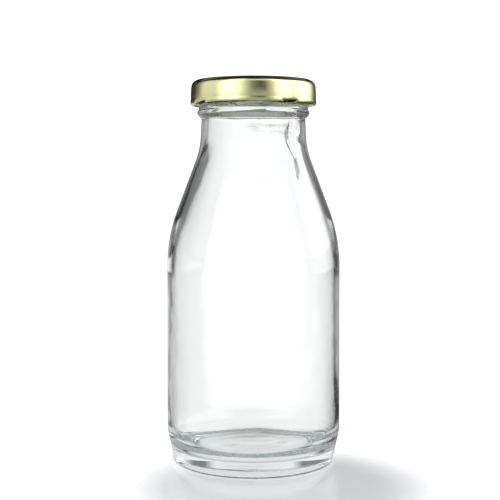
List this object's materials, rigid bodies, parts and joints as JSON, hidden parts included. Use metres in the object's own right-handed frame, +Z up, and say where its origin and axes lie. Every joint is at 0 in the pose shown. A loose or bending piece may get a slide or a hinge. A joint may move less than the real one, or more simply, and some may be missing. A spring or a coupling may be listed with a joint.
{
  "type": "glass milk bottle",
  "caption": "Clear round glass milk bottle with a long sloping shoulder, closed by a gold twist-off lug cap with a seal.",
  "frame": {"origin": "middle of the ring that the bottle stands on, at the height of the surface under it", "axes": "+Z up along the bottle's axis, towards the cap; +X to the right and -Y towards the viewer when the bottle is seen from its front"},
  "size_m": [0.0634, 0.0634, 0.1388],
  "materials": {
    "clear_glass": "clear and glossy, with a faint green-grey tint",
    "seal_compound": "soft, matt",
    "gold_tinplate": "gold lacquer, glossy"
  },
  "bodies": {
    "bottle": {"glass_bottle": "clear_glass"},
    "seal": {"sealing_gasket": "seal_compound"},
    "cap": {"cap_shell": "gold_tinplate"}
  },
  "joints": [
    {"name": "cap_rise", "type": "slide", "parent": "bottle", "child": "seal", "axis": [0, 0, 1], "range_m": [0, 0.01271]},
    {"name": "cap_turn", "type": "hinge", "parent": "seal", "child": "cap", "pos_m": [0, 0, 0.134], "axis": [0, 0, 1], "range_deg": [0, 360]}
  ],
  "couplings": [
    {"joint": "cap_rise", "follows": "cap_turn", "m_per_rad": 0.0020213}
  ]
}
